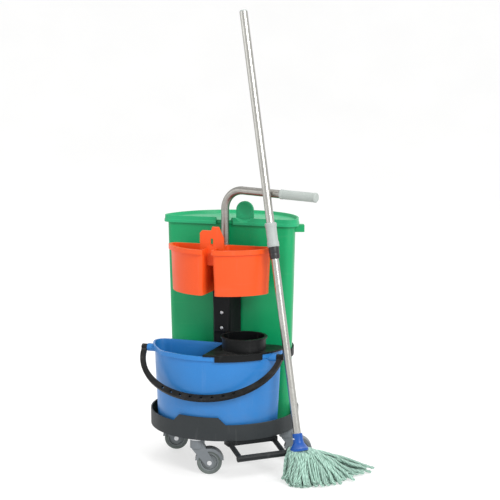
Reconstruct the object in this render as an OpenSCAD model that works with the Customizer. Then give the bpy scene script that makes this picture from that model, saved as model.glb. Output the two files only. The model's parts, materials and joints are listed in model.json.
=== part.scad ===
// Round carousel cleaning cart: a tray on castors carries a D-shaped bin behind a
// central post and a D-shaped bucket with a wringer in front of it. A two-pot caddy
// hangs on the post, a bent push tube rises from it, and a mop leans on the tube's arm.
// The mast axis is x = y = 0 before the whole cart is centred; the floor is z = 0.

/* [Base] */
// Outer radius of the round base tray
base_r = 231; // [228:1:260]
// Distance of the tray's centre in front of the mast
base_forward = 6; // [4:1:8]
// Thickness of the tray's floor
plate_t = 5; // [4:0.5:8]
// Height of the tray's ring wall, floor included
ring_h = 48; // [30:1:55]
// Thickness of the ring wall
ring_t = 4; // [3:0.5:6]
// Height of the raised front tab, floor included
tab_h = 70; // [56:1:75]
// Width of the raised front tab at its foot
tab_w = 168; // [100:1:200]

/* [Castors] */
// Wheel radius of a castor
wheel_r = 37.5; // [30:0.5:38]
// Wheel width
wheel_w = 22; // [18:1:26]
// Gap between the wheels' tops and the tray's underside
wheel_gap = 37; // [37:1:60]
// Distance of each swivel axis from the tray's centre
castor_reach = 203; // [190:1:204]
// Distance of a wheel's axle behind its swivel axis
castor_trail = 36; // [28:1:38]
// Direction in which the castors trail, in degrees from +X
castor_turn = 21; // [0:1:360]
// Radius of the swivel pin
pintle_r = 6; // [5:0.5:7]
// Radius of the wheel axle
axle_r = 4; // [3:0.5:5]

/* [Foot loop] */
// Radius of the foot loop's bar
loop_bar_r = 7.5; // [5:0.5:8]
// Width of the foot loop between its bar centres
loop_w = 140; // [100:1:160]
// Distance of the loop's outer bar from the tray's centre
loop_reach = 295; // [275:1:310]
// Drop of the loop's outer bar below its mounting
loop_drop = 24; // [0:1:40]

/* [Post] */
// Width of the post at its back
post_back_w = 92; // [80:1:100]
// Width of the post at its front
post_front_w = 54; // [50:1:60]
// Distance of the post's front face in front of the mast axis
post_front = 26; // [24:1:28]
// Wall of the post behind the push tube
post_rear = 2.5; // [2:0.5:4]
// Height of the shoulder that carries the caddy, above the tray's floor
shoulder_h = 413; // [400:1:420]
// Thickness of the front cover
cover_t = 8; // [6:0.5:8]
// Height of the front cover
cover_h = 133; // [100:1:140]
// Height of the hoop's lower edge above the tray's floor
hoop_up = 205; // [170:1:260]
// Height of the hoop band
hoop_h = 24; // [16:1:40]
// Thickness of the hoop band
hoop_t = 3; // [2:0.5:3]

/* [Push tube] */
// Outer radius of the push tube
tube_r = 12.5; // [11:0.5:13]
// Wall of the push tube
tube_wall = 2; // [1.5:0.5:3]
// Height of the arm's axis at the end of the bend, above the tray's floor
arm_h = 722; // [715:1:780]
// Radius of the bend, on the tube's axis
bend_r = 62; // [50:1:80]
// Angle of the bend
bend_angle = 92; // [90:1:95]
// Direction of the arm, in degrees from +X
arm_turn = -12; // [-20:1:-8]
// Length of the straight arm
arm_l = 256; // [240:1:300]
// Length of the grip
grip_l = 124; // [100:1:140]
// Wall of the grip
grip_wall = 2.5; // [1.5:0.5:4]

/* [Bin] */
// Radius of the bin's arc at its rim
bin_top_r = 211; // [205:1:213]
// Radius of the bin's arc at its foot
bin_foot_r = 196.5; // [190:0.5:200]
// Gap between the hoop and the bin's flat wall
bin_gap = 4; // [4:0.5:6]
// Height of the bin
bin_h = 621; // [600:1:630]
// Wall of the bin
bin_wall = 2.5; // [2:0.5:4]
// Corner radius between flat wall and arc
bin_corner = 24; // [15:1:35]
// Overlap of the lid's skirt beyond the bin, all round
lid_lap = 12; // [10:0.5:12]
// Height of the lid's skirt and raised edge
lid_h = 22; // [20:1:30]
// Thickness of the lid
lid_t = 2.5; // [2:0.5:4]
// Gap between the push tube and the notch in the lid
notch_gap = 12; // [2:0.5:14]
// Radius of the lid's upright lift tab
lid_tab_r = 28; // [20:1:29]
// Place of the lift tab to the right of the mast
lid_tab_x = 55; // [50:1:100]

/* [Bucket] */
// Radius of the bucket's arc at its rim
bucket_top_r = 209; // [205:1:210]
// Radius of the bucket's arc at its foot
bucket_foot_r = 200; // [185:1:201]
// Distance of the arc's centre in front of the mast axis
bucket_centre = 26; // [24:1:27]
// Distance of the flat wall's rim in front of the mast axis
bucket_back = 37; // [37:0.5:40]
// Height of the bucket
bucket_h = 249; // [200:1:255]
// Wall of the bucket
bucket_wall = 3; // [2:0.5:4]
// Corner radius between flat wall and arc
bucket_corner = 26; // [20:1:35]
// Overhang of the bucket's rim
rim_out = 6; // [4:0.5:7]
// Height of the bucket's rim band
rim_band = 13; // [8:1:16]
// Depth of the pouring spout
spout_out = 7; // [0:0.5:10]
// Distance of the bail's pivots in front of the mast axis
pivot_y = 118; // [110:1:122]
// Distance of the bail's pivots below the rim
pivot_drop = 13; // [10:1:20]
// Half of the bail's outer width
bail_half_w = 229; // [226:0.5:230]
// Width of the bail's arms at the pivots
bail_arm_w = 16; // [10:1:18]
// Depth of the bail from pivot to outer edge
bail_depth = 179; // [176:1:182]
// Width of the bail's band
bail_band = 20; // [16:1:21]
// Thickness of the bail's band
bail_t = 10; // [5:0.5:10]
// Angle at which the bail lies below the horizontal
bail_drop = 41.5; // [41:0.5:44]
// Radius of the bail's pivot pins
bail_pin_r = 4; // [3:0.5:5]

/* [Wringer] */
// Outer radius of the wringer's collar
cup_r = 66; // [50:1:67]
// Height of the collar above the plate
cup_h = 40; // [20:1:42]
// Gap between the collar's bore and the bucket's curved wall
cup_clear = 2.3; // [2:0.1:8]
// Place of the collar in front of the mast
cup_y = 120; // [112:1:121]
// Depth of the press cone below the plate
cone_depth = 90; // [50:1:120]
// Rows of holes in the press cone
cone_rows = 4; // [2:1:4]
// Holes in each row of the press cone
cone_holes = 12; // [6:1:12]

/* [Caddy] */
// Half of the caddy's width
caddy_half_w = 168; // [150:1:170]
// Radius of the caddy's curved front
caddy_arc_r = 184; // [170:1:185]
// Height of the caddy's pots
caddy_h = 140; // [120:1:150]
// Gap between the two pots
caddy_gap = 28; // [24:1:30]
// Wall of the caddy
caddy_wall = 3; // [2:0.5:4]
// Height of the carrying plate above the pots
caddy_plate_h = 66; // [50:1:67]
// Width of the carrying plate
caddy_plate_w = 77; // [60:1:90]

/* [Mop] */
// Distance of the mop's axis to the right of the mast, at the floor
mop_x = 319; // [312:1:325]
// Lean of the mop to the left, per unit of height
mop_lean_x = 0.1945; // [0.19:0.0005:0.195]
// Lean of the mop to the back, per unit of height
mop_lean_y = 0.1612; // [0.155:0.0001:0.165]
// Length of the mop from the floor to its end cap, along its axis
mop_l = 1429; // [1350:1:1500]
// Outer radius of the upper tube
upper_r = 12.5; // [12:0.5:12.5]
// Outer radius of the lower tube
lower_r = 11.25; // [10:0.25:11.25]
// Start of the lock collar, along the axis
collar_at = 665; // [645:1:680]
// Length of the lock collar
collar_l = 36; // [30:1:48]
// Length of the light sleeve above the collar
sleeve_l = 73; // [60:1:80]
// Start of the mop's socket, along the axis
socket_at = 98; // [95:1:120]
// Length of the mop's socket
socket_l = 50; // [45:1:70]

/* [Fits] */
// Radial running clearance of a pin in its bore
run_gap = 0.05; // [0.02:0.01:0.1]
// Gap between separate pieces that rest on each other
rest_gap = 0.3; // [0.2:0.05:0.5]
// Radial clearance of fixed pieces such as tubes in sockets
fit_gap = 0.1; // [0.05:0.05:0.2]

/* [Hidden] */
$fn = 64;

// Steps round a D-shaped outline: each corner, then the arc
corner_steps = 5;
arc_steps = 36;

// Base
base_z = 2 * wheel_r + wheel_gap;
plate_top = base_z + plate_t;
base_c = [0, -base_forward, 0];
stud_r = 5;
foot_screw_r = 3;
foot_screw_head_r = 6;
foot_screw_head_h = 3;
loop_turn = -47;
loop_seat_in = 40;
loop_knuckle_r = loop_bar_r + 2;
loop_pad_l = 34;
loop_pad_w = 20;
loop_lap = 12;
foot_screw_in = 9;

// Castors
castor_angles = [-93, 181, 0, 90];
castor_plate_r = 24;
castor_plate_t = 4;
fork_top = base_z - castor_plate_t - rest_gap;
fork_in = wheel_w + 3;
fork_cheek = 4;
fork_w = fork_in + 2 * fork_cheek;
fork_head_r = 22;
keeper_r = 9;
keeper_t = 4;
head_floor = fork_top - 20;
hood_r = wheel_r + 6;
hood_lip = 9;
slot_r = wheel_r + 3;
hub_r = wheel_r - 10;
axle_end_r = 7;
axle_end_t = 2;

// Post
post_wall = 4;
post_back = tube_r + post_rear;
shoulder_z = plate_top + shoulder_h;
hook_drop = 15.3;
neck_front = 20 - rest_gap;
neck_half_w = 36;
neck_z = shoulder_z + caddy_h + rest_gap - hook_drop;
neck_slot_x = 25;
neck_slot_w = 18;
hoop_z = plate_top + hoop_up;
hoop_screw_x = 34;
cover_z = shoulder_z - cover_h;
cover_front = post_front + cover_t;
cover_top_w = post_front_w + 6;
cover_foot_w = post_front_w - 6;
cover_edge = 3;
cover_step = 2;
cover_screw_z = [cover_z + 14, cover_z + 62];
cover_screw_r = 5.5;
cover_shank_r = 2;
cover_recess = 2.5;
cover_shank_l = cover_front - cover_recess - tube_r - 1;
hoop_clear = 3;
hoop_in = post_back + hoop_t;
neck_screw_z = [neck_z - 60, neck_z - 25];
neck_screw_r = 3;
neck_screw_head_r = 5.5;
neck_screw_head_h = 2.5;
hoop_screw_l = 10;
hoop_screw_head_h = 1.5;

// Push tube
arm_z = plate_top + arm_h;
grip_r = tube_r + grip_wall;
bend_z = arm_z - bend_r * sin(bend_angle);
bend_end = bend_r * (1 - cos(bend_angle));
bend_lap = 0.6;
bend_swell = 0.2;
grip_over = 3;

// Bin
bin_z = plate_top + rest_gap;
bin_y = hoop_in + bin_gap;
bin_top = bin_z + bin_h;
lid_rise = 12;
lid_top = bin_top + lid_rise;
lid_skirt_z = lid_top - lid_h;
lid_r = bin_top_r + lid_lap;
lid_back = bin_y - 9;
lid_seat = bin_top + rest_gap;
notch_r = tube_r + notch_gap;
notch_left = 12;
lug_at = 69;
lug_l = 29;
lug_w = 34;
lug_h = 22;
tab_rise = 24;
lid_tab_t = 8;
lid_bowl_r = lid_tab_r - 5;
lid_bowl_d = 5.5;
lid_bowl_ball = (lid_bowl_r * lid_bowl_r + lid_bowl_d * lid_bowl_d) / (2 * lid_bowl_d);

// Bucket
bucket_z = plate_top + rest_gap;
bucket_top = bucket_z + bucket_h;
pivot_z = bucket_top - pivot_drop;
ear_r = 12;
ear_in = 180;
ear_out = bail_half_w - bail_arm_w - 3;
bail_slot_count = 8;
bail_slot_l = 9;
bail_slot_w = 6;
spout_at = 235;
spout_spread = 9;

// Wringer
wringer_z = bucket_top + rest_gap;
wringer_plate_t = 5.5;
wringer_left = 21;
cup_wall = 4;
cup_bead = 4.5;
cup_bead_h = 5;
cup_reach = bucket_top_r - bucket_wall - (cup_r - cup_wall) - cup_clear;
cup_x = sqrt(pow(cup_reach, 2) - pow(cup_y - bucket_centre, 2));
apron_left = cup_x - 50;
apron_w = 120;
apron_h = 16;
cone_wall = 3;
cone_taper = 24;
cone_lip = 6;
cone_hole_r = 5;

// Caddy
caddy_z = shoulder_z + rest_gap;
caddy_top = caddy_z + caddy_h;
caddy_back = 20;
caddy_arc_y = 21.5;
caddy_taper = 0.93;
caddy_flange = 8;
caddy_floor = 3;
hook_x = 19;
hook_w = 12;
hook_t = 3.5;
lip_t = 3;
lip_drop = 12;

// Mop
mop_dir = [-mop_lean_x, mop_lean_y, 1] / norm([mop_lean_x, mop_lean_y, 1]);
// The mop leans on the arm: its foot stands where the two axes pass at this distance
arm_dir = [cos(arm_turn) * sin(bend_angle), sin(arm_turn) * sin(bend_angle), cos(bend_angle)];
arm_start = [cos(arm_turn) * bend_end, sin(arm_turn) * bend_end, arm_z];
lean_gap = tube_r + upper_r + rest_gap;
apart = cross(arm_dir, mop_dir) / norm(cross(arm_dir, mop_dir));
mop_y = (apart[0] * (mop_x - arm_start[0]) - apart[2] * arm_start[2] - lean_gap) / apart[1] - arm_start[1];
mop_foot = [mop_x, -mop_y, 0];
mop_tilt = acos(mop_dir[2]);
mop_heading = atan2(mop_dir[1], mop_dir[0]);
socket_neck_r = 15;
socket_bell_r = 27;
mop_screw_r = 2;
mop_screw_in = 14;
lower_wall = 1.2;
lower_start = socket_at + 15;
lower_end = 1040;
head_tip = [141, 176];
head_tip_r = 22;
upper_start = collar_at + 5;

// Whole cart: the sides of its box, so that the origin is at its centre on the floor
cart_left = -max(base_r, bail_half_w);
cart_right = mop_x + head_tip[0] + head_tip_r;
loop_out = (loop_reach + loop_knuckle_r) * sin(-loop_turn) + (loop_w / 2 + loop_knuckle_r) * cos(loop_turn);
cart_front = -base_forward - max(base_r, loop_out);
cart_back = max(bin_y + lid_r, base_r - base_forward);
centre = [-(cart_left + cart_right) / 2, -(cart_front + cart_back) / 2, 0];

// ---------- shared shapes ----------

// Rounded D outline at height z: arc of radius r about (0, 0), straight side at y = side,
// corner radius c. A bump pushes the arc out about the angle bump_at.
function d_loop(r, side, c, z, bump = 0, bump_at = 90) =
    let (cx = sqrt(pow(r - c, 2) - pow(side + c, 2)), a = atan2(side + c, cx))
    concat(
        [for (i = [0:corner_steps]) let (t = -90 + (a + 90) * i / corner_steps)
            [cx + c * cos(t), side + c + c * sin(t), z]],
        [for (i = [1:arc_steps - 1]) let (
            t = a + (180 - 2 * a) * i / arc_steps,
            rr = r + bump * exp(-pow((t - bump_at) / spout_spread, 2))
        )
            [rr * cos(t), rr * sin(t), z]],
        [for (i = [0:corner_steps]) let (t = 180 - a + (a + 90) * i / corner_steps)
            [-cx + c * cos(t), side + c + c * sin(t), z]]
    );

// Closed solid through a stack of outlines with equal point counts
module skin(loops) {
    n = len(loops[0]);
    m = len(loops);
    points = [for (ring = loops) each ring];
    sides = [for (j = [0:m - 2], i = [0:n - 1]) let (
        a = j * n + i,
        b = j * n + (i + 1) % n
    )
        each [[a, a + n, b + n], [a, b + n, b]]];
    foot = [[for (i = [0:n - 1]) i]];
    head = [[for (i = [n - 1:-1:0]) (m - 1) * n + i]];
    polyhedron(points = points, faces = concat(foot, sides, head));
}

// Round bar from p to q
module bar(p, q, r) {
    v = q - p;
    translate(p)
        rotate([0, acos(v[2] / norm(v)), atan2(v[1], v[0])])
            cylinder(r = r, h = norm(v));
}

// Ring about +Z between two radii
module ring(r_out, r_in, h) {
    difference() {
        cylinder(r = r_out, h = h, $fn = 128);
        translate([0, 0, -1]) cylinder(r = r_in, h = h + 2, $fn = 128);
    }
}

// Hollow round tube along +Z
module pipe(r, wall, h) {
    difference() {
        cylinder(r = r, h = h);
        translate([0, 0, -1]) cylinder(r = r - wall, h = h + 2);
    }
}

// Puts a castor piece at its place, with its trail along +X
module at_castor(i) {
    translate(base_c)
        rotate([0, 0, castor_angles[i - 1]])
            translate([castor_reach, 0, 0])
                rotate([0, 0, castor_turn - castor_angles[i - 1]])
                    children();
}

// Puts a piece that is drawn along +Z onto the mop's axis, at distance t from the floor
module on_mop(t) {
    translate(mop_foot + mop_dir * t)
        rotate([0, mop_tilt, mop_heading])
            children();
}

// Screw with a round head; its shank points along -Z below the head
module screw(r, l, head_r, head_h) {
    translate([0, 0, -l]) cylinder(r = r, h = l);
    cylinder(r = head_r, h = head_h);
}

// ---------- base ----------

module loop_place() {
    translate(base_c) rotate([0, 0, loop_turn]) children();
}

module deck() {
    color([0.20, 0.21, 0.22])
    difference() {
        union() {
            translate(base_c + [0, 0, base_z]) {
                cylinder(r = base_r, h = plate_t, $fn = 128);
                ring(base_r, base_r - ring_t, ring_h);
                intersection() {
                    ring(base_r, base_r - ring_t, tab_h);
                    rotate([90, 0, 0]) linear_extrude(height = base_r + 1)
                        polygon([
                            [-tab_w / 2, 0], [tab_w / 2, 0], [tab_w / 2, ring_h],
                            [tab_w / 2 - tab_h + ring_h, tab_h], [-tab_w / 2 + tab_h - ring_h, tab_h],
                            [-tab_w / 2, ring_h]
                        ]);
                }
            }
        }
        for (i = [1:4])
            at_castor(i) translate([0, 0, base_z - 1]) cylinder(r = stud_r + fit_gap, h = plate_t + 2);
        loop_place()
            for (s = [-1, 1])
                translate([base_r - loop_seat_in + foot_screw_in, s * loop_w / 2, base_z - 1])
                    cylinder(r = foot_screw_r + fit_gap, h = plate_t + 2);
    }
}

module foot_loop() {
    pad_z = base_z - 2 * loop_bar_r;
    bar_z = base_z - loop_bar_r - loop_drop;
    seat = base_r - loop_seat_in;
    color([0.14, 0.14, 0.15])
    loop_place()
    difference() {
        union() {
            for (s = [-1, 1]) {
                translate([seat, s * loop_w / 2 - loop_pad_w / 2, pad_z])
                    cube([loop_pad_l, loop_pad_w, 2 * loop_bar_r]);
                bar([seat + loop_pad_l - loop_lap, s * loop_w / 2, base_z - loop_bar_r - 1.5],
                    [loop_reach, s * loop_w / 2, bar_z], loop_bar_r);
            }
            translate([loop_reach, loop_w / 2 + loop_knuckle_r, bar_z]) rotate([90, 0, 0])
                cylinder(r = loop_knuckle_r, h = loop_w + 2 * loop_knuckle_r);
            translate([seat + loop_pad_l - 2 * loop_bar_r, -loop_w / 2, pad_z + 1])
                cube([2 * loop_bar_r - 1, loop_w, 2 * loop_bar_r - 2]);
        }
        for (s = [-1, 1])
            translate([seat + foot_screw_in, s * loop_w / 2, 0])
                cylinder(r = foot_screw_r + fit_gap, h = base_z + 1);
    }
}

module foot_loop_screws() {
    head_z = base_z - 2 * loop_bar_r;
    color([0.70, 0.71, 0.72])
    loop_place()
        for (s = [-1, 1])
            translate([base_r - loop_seat_in + foot_screw_in, s * loop_w / 2, head_z - foot_screw_head_h]) {
                cylinder(r = foot_screw_head_r, h = foot_screw_head_h);
                cylinder(r = foot_screw_r, h = plate_top - head_z + foot_screw_head_h);
            }
}

// ---------- castors ----------

module castor_plate(i) {
    keeper_top = head_floor - rest_gap;
    color([0.45, 0.46, 0.48])
    at_castor(i) {
        translate([0, 0, base_z - castor_plate_t]) cylinder(r = castor_plate_r, h = castor_plate_t);
        translate([0, 0, base_z - 1]) cylinder(r = stud_r, h = plate_t + 1);
        translate([0, 0, keeper_top - keeper_t])
            cylinder(r = pintle_r, h = base_z - castor_plate_t - keeper_top + keeper_t + 1);
        translate([0, 0, keeper_top - keeper_t]) cylinder(r = keeper_r, h = keeper_t);
    }
}

module castor_fork(i) {
    color([0.43, 0.44, 0.47])
    at_castor(i)
    difference() {
        union() {
            translate([0, 0, head_floor - 6]) cylinder(r = fork_head_r, h = fork_top - head_floor + 6);
            rotate([90, 0, 0]) translate([0, 0, -fork_w / 2]) linear_extrude(height = fork_w)
                hull() {
                    translate([1, head_floor]) circle(r = 18, $fn = 32);
                    translate([castor_trail, wheel_r]) circle(r = 13, $fn = 32);
                }
            intersection() {
                translate([castor_trail, fork_w / 2, wheel_r]) rotate([90, 0, 0])
                    ring(hood_r, hood_r - hood_lip, fork_w);
                translate([castor_trail - hood_r, -fork_w, wheel_r + 8])
                    cube([2 * hood_r, 2 * fork_w, hood_r]);
            }
        }
        translate([castor_trail, fork_in / 2, wheel_r]) rotate([90, 0, 0]) cylinder(r = slot_r, h = fork_in);
        translate([castor_trail - slot_r, -fork_in / 2, -1]) cube([2 * slot_r, fork_in, wheel_r + 1]);
        translate([0, 0, -1]) cylinder(r = keeper_r + 0.5, h = head_floor + 1);
        translate([0, 0, head_floor - 1]) cylinder(r = pintle_r + run_gap, h = fork_top - head_floor + 2);
        translate([castor_trail, fork_w, wheel_r]) rotate([90, 0, 0])
            cylinder(r = axle_r + fit_gap, h = 2 * fork_w);
    }
}

module castor_axle(i) {
    color([0.70, 0.71, 0.72])
    at_castor(i)
    translate([castor_trail, 0, wheel_r]) rotate([90, 0, 0]) {
        translate([0, 0, -fork_w / 2 - 1]) cylinder(r = axle_r, h = fork_w + 2);
        translate([0, 0, fork_w / 2]) cylinder(r = axle_end_r, h = axle_end_t);
        translate([0, 0, -fork_w / 2 - axle_end_t]) cylinder(r = axle_end_r, h = axle_end_t);
    }
}

module castor_hub(i) {
    half = wheel_w / 2;
    boss = fork_in / 2 - rest_gap;
    color([0.50, 0.51, 0.53])
    at_castor(i)
    translate([castor_trail, 0, wheel_r]) rotate([90, 0, 0])
        rotate_extrude($fn = 96)
            polygon([
                [axle_r + run_gap, -boss], [10, -boss], [12, -4], [hub_r - 5, -4], [hub_r - 3, -half + 1],
                [hub_r, -half + 1], [hub_r, half - 1], [hub_r - 3, half - 1], [hub_r - 5, 4], [12, 4],
                [10, boss], [axle_r + run_gap, boss]
            ]);
}

module castor_tyre(i) {
    half = wheel_w / 2;
    color([0.40, 0.44, 0.43])
    at_castor(i)
    translate([castor_trail, 0, wheel_r]) rotate([90, 0, 0])
        rotate_extrude($fn = 96)
            polygon(concat(
                [[hub_r, -half]],
                [for (t = [-90:15:0]) [wheel_r - 5 + 5 * cos(t), -half + 5 + 5 * sin(t)]],
                [for (t = [0:15:90]) [wheel_r - 5 + 5 * cos(t), half - 5 + 5 * sin(t)]],
                [[hub_r, half]]
            ));
}

// ---------- post and hoop ----------

module trapezoid(back_w, front_w, back, front, h) {
    linear_extrude(height = h)
        polygon([[-back_w / 2, back], [-front_w / 2, -front], [front_w / 2, -front], [back_w / 2, back]]);
}

module post_column() {
    inner_back_w = post_back_w - 2.4 * post_wall;
    inner_front_w = post_front_w - 2.4 * post_wall;
    color([0.16, 0.17, 0.18])
    difference() {
        union() {
            difference() {
                translate([0, 0, plate_top])
                    trapezoid(post_back_w, post_front_w, post_back, post_front, shoulder_z - plate_top);
                translate([0, 0, plate_top - 1])
                    trapezoid(inner_back_w, inner_front_w, post_back - post_wall, post_front - post_wall,
                        shoulder_z - plate_top - 2 * post_wall);
            }
            translate([0, 0, plate_top])
                cylinder(r = post_back - 0.5, h = shoulder_z - plate_top - post_wall);
            difference() {
                translate([-neck_half_w, -neck_front, shoulder_z - 1])
                    cube([2 * neck_half_w, neck_front + post_back, neck_z - shoulder_z + 1]);
                for (s = [-1, 1])
                    translate([s * neck_slot_x, (post_back - neck_front) / 2, shoulder_z + post_wall])
                        linear_extrude(height = neck_z - shoulder_z)
                            square([neck_slot_w, neck_front + post_back - 2 * post_wall], center = true);
            }
        }
        translate([0, 0, plate_top - 1]) cylinder(r = tube_r + fit_gap, h = neck_z);
        for (z = cover_screw_z)
            translate([0, 0, z]) rotate([90, 0, 0]) cylinder(r = cover_shank_r + fit_gap, h = post_front + 1);
        for (s = [-1, 1])
            translate([s * hoop_screw_x, 0, hoop_z + hoop_h / 2]) rotate([-90, 0, 0])
                cylinder(r = neck_screw_r + fit_gap, h = post_back + 1);
        for (z = neck_screw_z)
            translate([0, 0, z]) rotate([-90, 0, 0])
                cylinder(r = neck_screw_r + fit_gap, h = post_back + 1);
    }
}

module post_cover() {
    color([0.13, 0.14, 0.15])
    difference() {
        hull() {
            translate([-cover_foot_w / 2, -cover_front + cover_step, cover_z])
                cube([cover_foot_w, cover_t - cover_step, 0.1]);
            translate([-cover_foot_w / 2 + cover_edge, -cover_front, cover_z + cover_edge + 1])
                cube([cover_foot_w - 2 * cover_edge, cover_t, 0.1]);
            translate([-cover_top_w / 2 + cover_edge, -cover_front, shoulder_z - 0.1])
                cube([cover_top_w - 2 * cover_edge, cover_t, 0.1]);
            translate([-cover_top_w / 2, -cover_front + cover_step, shoulder_z - 0.1])
                cube([cover_top_w, cover_t - cover_step, 0.1]);
        }
        for (z = cover_screw_z)
            translate([0, 0, z]) rotate([90, 0, 0]) {
                cylinder(r = cover_shank_r + fit_gap, h = cover_front + 1);
                translate([0, 0, cover_front - cover_recess])
                    cylinder(r = cover_screw_r + 1, h = cover_recess + 1);
            }
    }
}

module post_screws() {
    color([0.80, 0.81, 0.82])
    for (z = cover_screw_z)
        translate([0, -cover_front + cover_recess, z]) rotate([90, 0, 0])
            screw(cover_shank_r, cover_shank_l, cover_screw_r, 2);
}

module bin_hoop() {
    radius_at_hoop = bin_foot_r + (bin_top_r - bin_foot_r) * (hoop_z + hoop_h - bin_z) / bin_h + hoop_clear;
    side = hoop_in - bin_y;
    inner = d_loop(radius_at_hoop, side, bin_corner, 0);
    outer = d_loop(radius_at_hoop + hoop_t, side - hoop_t, bin_corner + hoop_t, 0);
    color([0.15, 0.16, 0.16])
    difference() {
        translate([0, bin_y, hoop_z])
            difference() {
                linear_extrude(height = hoop_h) polygon([for (p = outer) [p[0], p[1]]]);
                translate([0, 0, -1]) linear_extrude(height = hoop_h + 2)
                    polygon([for (p = inner) [p[0], p[1]]]);
            }
        for (s = [-1, 1])
            translate([s * hoop_screw_x, 0, hoop_z + hoop_h / 2]) rotate([-90, 0, 0])
                cylinder(r = neck_screw_r + fit_gap, h = 2 * hoop_in);
    }
}

module hoop_screws() {
    color([0.70, 0.71, 0.72])
    for (s = [-1, 1])
        translate([s * hoop_screw_x, hoop_in, hoop_z + hoop_h / 2]) rotate([-90, 0, 0])
            screw(neck_screw_r, hoop_screw_l, neck_screw_head_r, hoop_screw_head_h);
}

// ---------- push tube ----------

module on_arm() {
    rotate([0, 0, arm_turn])
        translate([bend_end, 0, arm_z])
            rotate([0, bend_angle, 0])
                children();
}

module push_tube() {
    color([0.69, 0.68, 0.67]) {
        translate([0, 0, plate_top]) pipe(tube_r, tube_wall, bend_z - plate_top + bend_lap);
        rotate([0, 0, arm_turn])
            translate([bend_r, 0, bend_z]) rotate([90, 0, 0])
                rotate([0, 0, 180 - bend_angle])
                    rotate_extrude(angle = bend_angle, $fn = 96)
                        translate([bend_r, 0]) difference() {
                            circle(r = tube_r + bend_swell);
                            circle(r = tube_r - tube_wall - bend_swell);
                        }
        on_arm() translate([0, 0, -bend_lap]) pipe(tube_r, tube_wall, arm_l + bend_lap);
    }
}

module push_grip() {
    color([0.75, 0.78, 0.77])
    on_arm()
        translate([0, 0, arm_l + grip_over - grip_l])
            difference() {
                rotate_extrude($fn = 96)
                    polygon([
                        [0, 0], [grip_r - 1.5, 0], [grip_r, 1.5], [grip_r, 8], [grip_r - 0.8, 9],
                        [grip_r - 0.8, grip_l - 9],
                        [grip_r, grip_l - 8], [grip_r, grip_l - 3], [grip_r - 3, grip_l], [0, grip_l]
                    ]);
                translate([0, 0, -1]) cylinder(r = tube_r + fit_gap, h = grip_l - grip_over + 1);
            }
}

module tube_screws() {
    color([0.70, 0.71, 0.72])
    for (z = neck_screw_z)
        translate([0, post_back, z]) rotate([-90, 0, 0])
            screw(neck_screw_r, post_back - tube_r - 0.05, neck_screw_head_r, neck_screw_head_h);
}

// ---------- bin ----------

module bin_lug(s) {
    rotate([0, 0, 90 - s * lug_at])
        translate([bin_top_r - 1.8, -lug_w / 2, lid_skirt_z - 1 - lug_h]) cube([lug_l, lug_w, lug_h]);
}

module bin_body() {
    r = bin_foot_r;
    top = bin_top_r;
    w = bin_wall;
    color([0.20, 0.70, 0.53])
    translate([0, bin_y, 0]) {
        skin([
            d_loop(r - 3, 5, bin_corner - 3, bin_z),
            d_loop(r, 2, bin_corner, bin_z + 3),
            d_loop(top, 0, bin_corner, bin_top - 10),
            d_loop(top + 3, -3, bin_corner + 3, bin_top - 8),
            d_loop(top + 3, -3, bin_corner + 3, bin_top),
            d_loop(top - w, w, bin_corner - w, bin_top),
            d_loop(r - w, 2 + w, bin_corner - w, bin_z + 4)
        ]);
        for (s = [-1, 1]) bin_lug(s);
    }
}

module bin_lid() {
    r = lid_r;
    side = lid_back - bin_y;
    t = lid_t;
    c = bin_corner + lid_lap - 4;
    tab_z = lid_top + tab_rise;
    panel_top = lid_seat + t;
    color([0.24, 0.72, 0.55])
    difference() {
        union() {
            translate([0, bin_y, 0])
                skin([
                    d_loop(r - 6 - t, side + 6 + t, c - 6 - t, lid_seat),
                    d_loop(r - 2 - t, side + 2 + t, c - 2 - t, lid_seat),
                    d_loop(r - t, side + t, c - t, lid_skirt_z),
                    d_loop(r, side, c, lid_skirt_z),
                    d_loop(r, side, c, lid_skirt_z + 8),
                    d_loop(r - 1.5, side + 1.5, c - 1.5, lid_skirt_z + 10),
                    d_loop(r - 2, side + 2, c - 2, lid_top),
                    d_loop(r - 7, side + 7, c - 7, lid_top),
                    d_loop(r - 10, side + 10, c - 10, panel_top)
                ]);
            translate([lid_tab_x, lid_back + 12, tab_z]) rotate([-90, 0, 0]) {
                cylinder(r = lid_tab_r, h = lid_tab_t);
                translate([-lid_tab_r, 0, 0]) cube([2 * lid_tab_r, tab_z - panel_top + t / 2, lid_tab_t]);
            }
        }
        translate([0, 0, lid_skirt_z - 1]) {
            cylinder(r = notch_r, h = lid_h + 2);
            translate([-notch_r - notch_left, -notch_r, 0])
                cube([notch_r + notch_left, 2 * notch_r, lid_h + 2]);
        }
        translate([lid_tab_x, lid_back + 12 - lid_bowl_ball + lid_bowl_d, tab_z]) sphere(r = lid_bowl_ball);
    }
}

// ---------- bucket ----------

module bucket_frame() {
    translate([0, -bucket_centre, 0]) mirror([0, 1, 0]) children();
}

module bucket_outer() {
    side = bucket_back - bucket_centre + rim_out;
    b = spout_out;
    at = 360 - spout_at;
    skin([
        d_loop(bucket_foot_r - 5, side + 8, bucket_corner - 4, bucket_z),
        d_loop(bucket_foot_r, side + 3, bucket_corner, bucket_z + 6),
        d_loop(bucket_top_r - 1, side, bucket_corner, bucket_top - 60),
        d_loop(bucket_top_r, side, bucket_corner, bucket_top - rim_band - 2, b * 0.8, at),
        d_loop(bucket_top_r + rim_out, side - rim_out, bucket_corner + rim_out, bucket_top - rim_band, b, at),
        d_loop(bucket_top_r + rim_out, side - rim_out, bucket_corner + rim_out, bucket_top, b, at)
    ]);
}

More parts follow.
